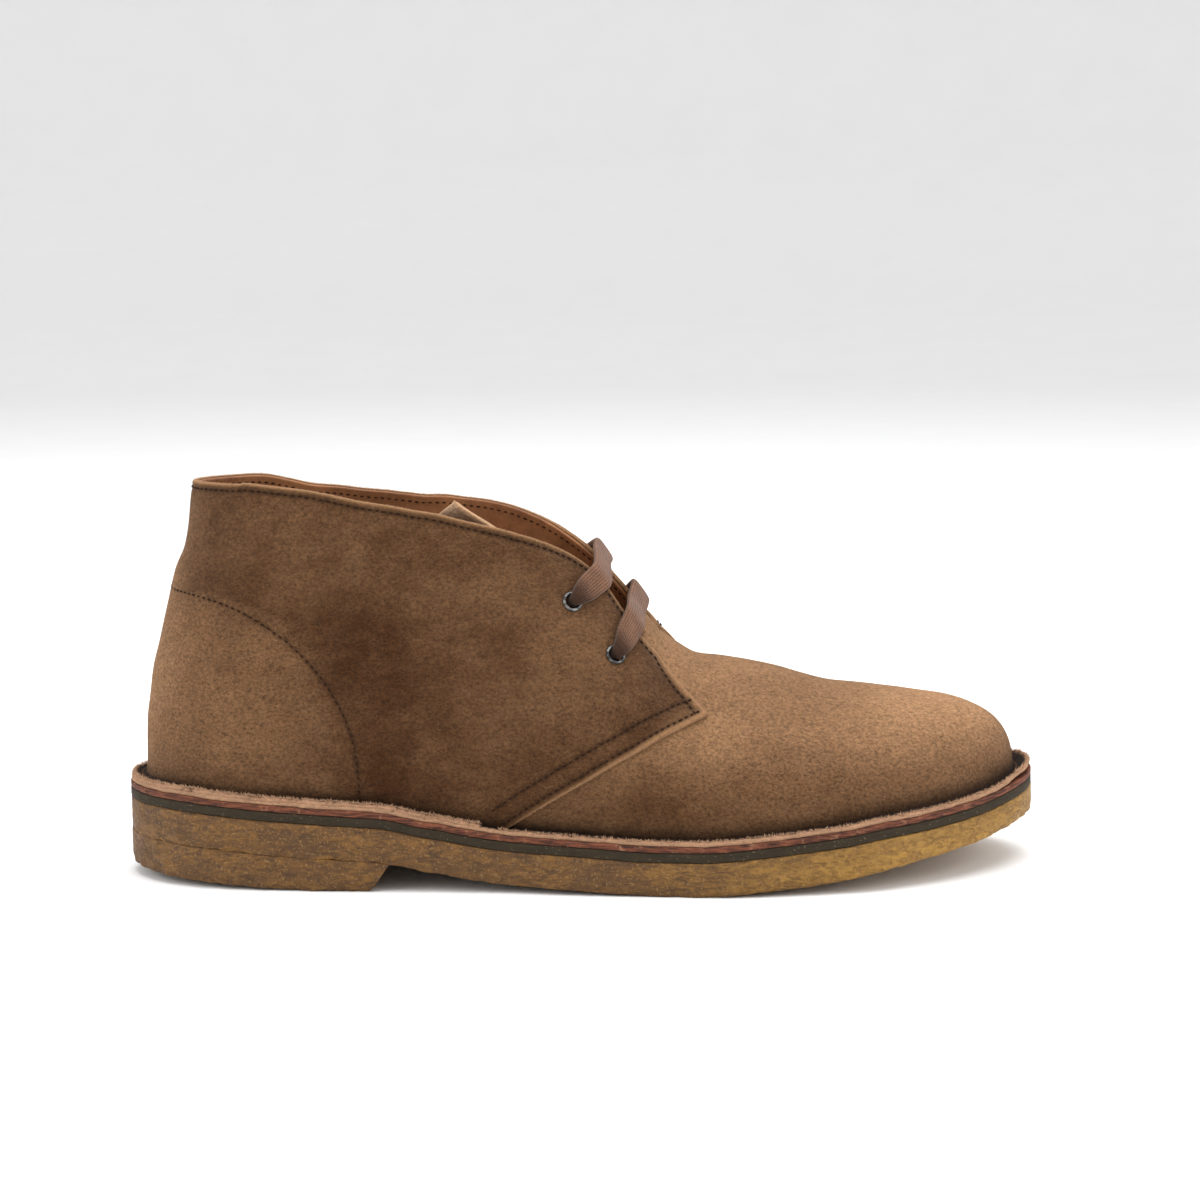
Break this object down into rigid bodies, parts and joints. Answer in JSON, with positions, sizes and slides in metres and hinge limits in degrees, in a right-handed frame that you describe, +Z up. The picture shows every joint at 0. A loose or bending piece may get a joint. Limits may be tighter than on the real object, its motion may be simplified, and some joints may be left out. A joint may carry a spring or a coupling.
{
  "type": "desert boot",
  "caption": "Right ankle-high lace-up boot with a seamed suede upper, flat lace, turned-out welt edge and a thick crepe sole with a low block heel.",
  "frame": {"origin": "centre of the boot's footprint box, on the floor", "axes": "+X to the toe, +Y to the inner side of the foot (this is a right boot, so its outer side is -Y), +Z up"},
  "size_m": [0.3, 0.1084, 0.1296],
  "materials": {
    "suede": "napped suede, tan",
    "lining_leather": "smooth, brown",
    "welt_leather": "smooth dyed edge, red brown",
    "midsole_rubber": "matt, dark grey green",
    "crepe": "natural crepe, mottled honey",
    "lace_cotton": "flat woven, dark brown",
    "eyelet_metal": "gunmetal"
  },
  "bodies": {
    "root": {"crepe_heel": "crepe", "crepe_outsole": "crepe", "midsole": "midsole_rubber", "welt": "welt_leather", "insole": "lining_leather", "upper": "suede", "tongue": "suede", "eyelet_lateral_upper": "eyelet_metal", "eyelet_medial_upper": "eyelet_metal", "eyelet_lateral_lower": "eyelet_metal", "eyelet_medial_lower": "eyelet_metal", "lace_bar_upper": "lace_cotton", "lace_bar_lower": "lace_cotton"}
  },
  "joints": []
}
